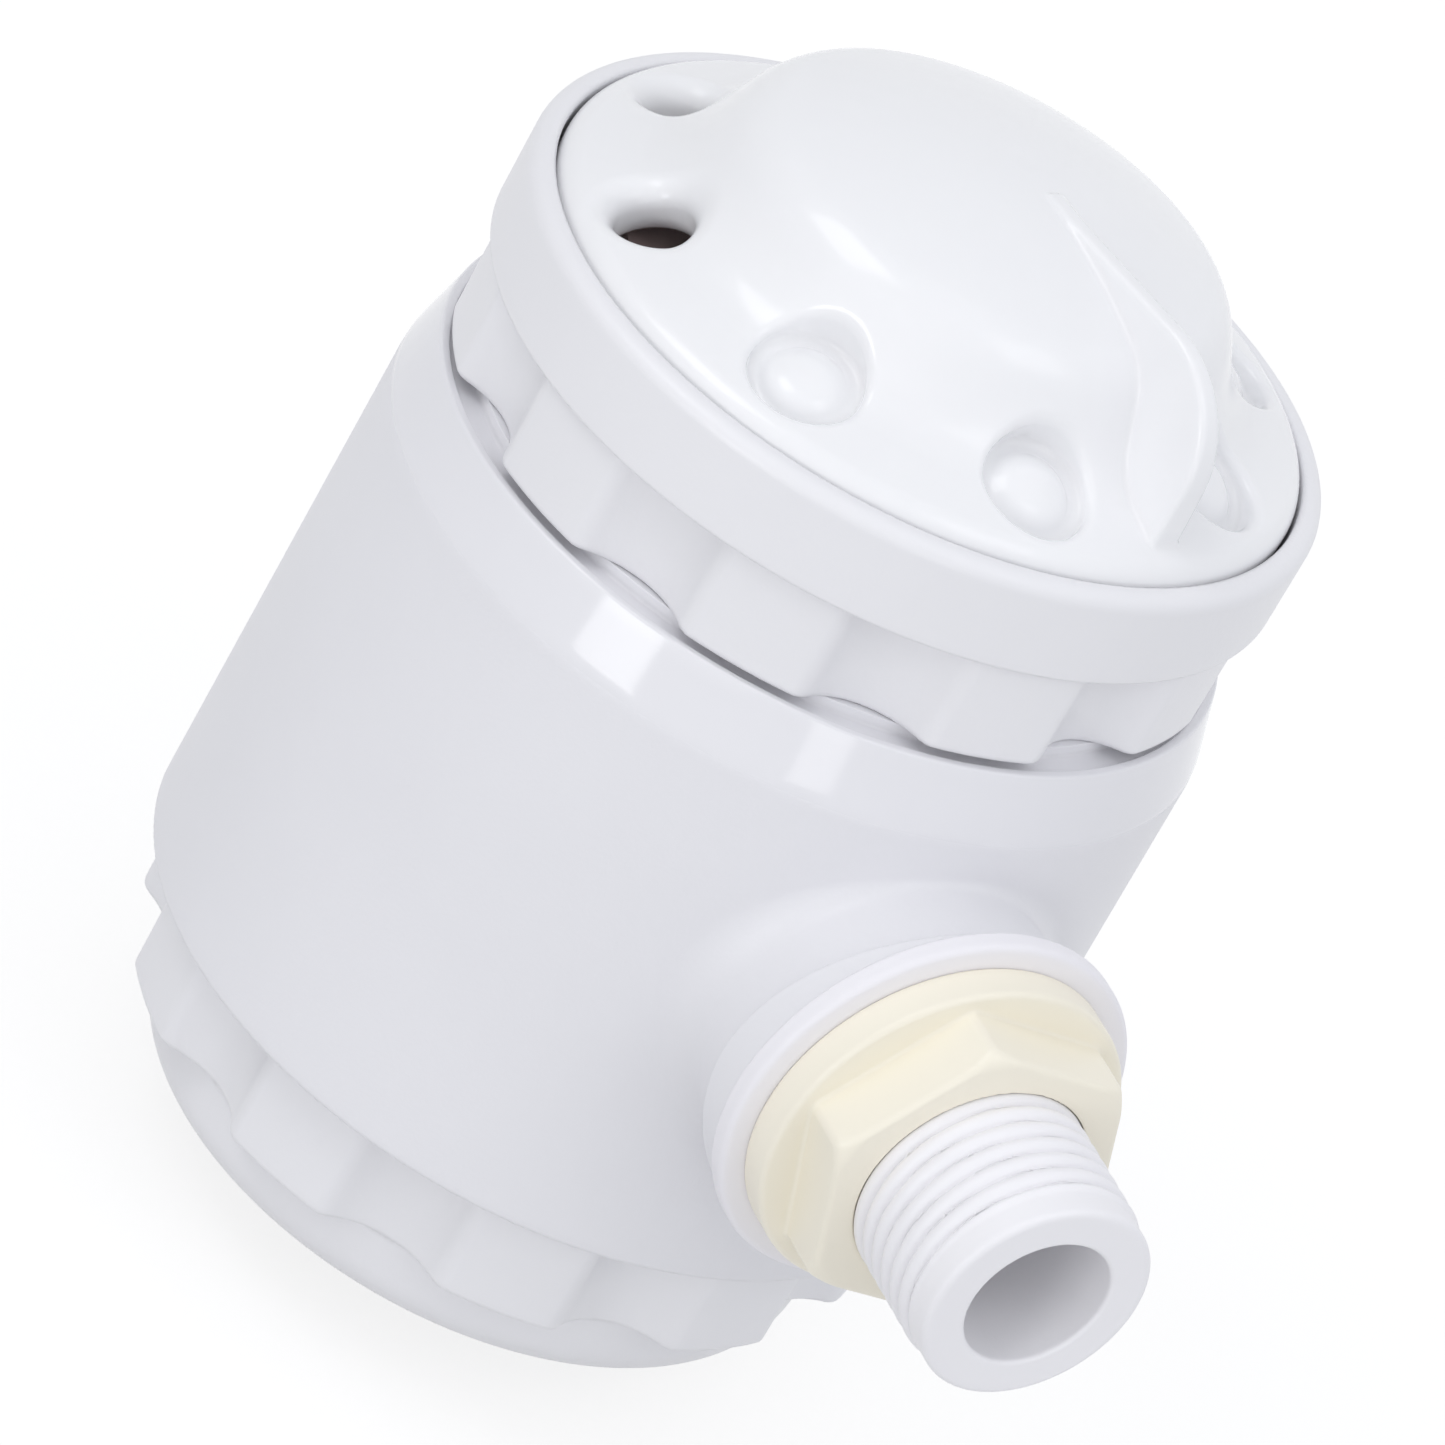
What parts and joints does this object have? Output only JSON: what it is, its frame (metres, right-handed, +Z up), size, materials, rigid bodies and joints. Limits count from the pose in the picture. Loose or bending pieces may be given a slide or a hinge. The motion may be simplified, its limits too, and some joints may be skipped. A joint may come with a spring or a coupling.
{
  "type": "steam outlet canister",
  "caption": "Upright plastic steam outlet canister with a domed turning dial, scalloped screw caps top and bottom, an inner herb basket and a threaded side inlet with a flanged nut.",
  "frame": {"origin": "centre of the flat base of the bottom cap, which the part stands on", "axes": "+Z up the canister axis through the dial, +X out along the side inlet, +Y by the right-hand rule"},
  "size_m": [0.1102, 0.0776, 0.1095],
  "materials": {
    "body": "satin, fine texture",
    "nipple": "satin",
    "seal": "dull",
    "soft_gasket": "soft satin",
    "nut": "satin, cream",
    "cap": "satin",
    "basket": "satin",
    "steel": "satin",
    "glide": "waxy",
    "shutter": "dull, brown-grey",
    "dial": "glossy",
    "oring": "dull"
  },
  "bodies": {
    "canister": {"body": "body", "bottom_collar": "body", "top_collar": "body", "inlet_nipple": "nipple", "inner_seal": "seal", "basket": "basket", "basket_screen": "steel", "basket_lid": "basket"},
    "top_seal": {"top_gasket": "seal"},
    "top_cover": {"top_cap": "cap", "port_plate": "cap", "stop_pin": "steel", "glide_ring": "glide", "dial_oring": "oring"},
    "dial_unit": {"dial": "dial", "shutter_disc": "shutter", "dial_spring": "steel", "dial_washer": "steel", "dial_screw": "steel"},
    "bottom_seal": {"bottom_gasket": "seal"},
    "bottom_cover": {"bottom_cap": "cap"},
    "inlet_seal": {"boss_gasket": "soft_gasket"},
    "inlet_nut": {"flange_nut": "nut"}
  },
  "joints": [
    {"name": "top_cap_lift", "type": "slide", "parent": "canister", "child": "top_seal", "axis": [0, 0, 1], "range_m": [0, 0.006]},
    {"name": "top_cap_turn", "type": "hinge", "parent": "top_seal", "child": "top_cover", "pos_m": [0, 0, 0.0846], "axis": [0, 0, 1], "range_deg": [0, 720]},
    {"name": "dial_turn", "type": "hinge", "parent": "top_cover", "child": "dial_unit", "pos_m": [0, 0, 0.0876], "axis": [0, 0, 1], "range_deg": [0, 180]},
    {"name": "bottom_cap_drop", "type": "slide", "parent": "canister", "child": "bottom_seal", "axis": [0, 0, -1], "range_m": [0, 0.006]},
    {"name": "bottom_cap_turn", "type": "hinge", "parent": "bottom_seal", "child": "bottom_cover", "pos_m": [0, 0, 0.0074], "axis": [0, 0, -1], "range_deg": [0, 720]},
    {"name": "nut_travel", "type": "slide", "parent": "canister", "child": "inlet_seal", "axis": [1, 0, 0], "range_m": [0, 0.00726]},
    {"name": "nut_turn", "type": "hinge", "parent": "inlet_seal", "child": "inlet_nut", "pos_m": [0.04875, 0, 0.0472], "axis": [1, 0, 0], "range_deg": [0, 1440]}
  ],
  "couplings": [
    {"joint": "top_cap_turn", "follows": "top_cap_lift", "rad_per_m": 2094.4},
    {"joint": "bottom_cap_turn", "follows": "bottom_cap_drop", "rad_per_m": 2094.4},
    {"joint": "nut_turn", "follows": "nut_travel", "rad_per_m": 3463.6}
  ]
}
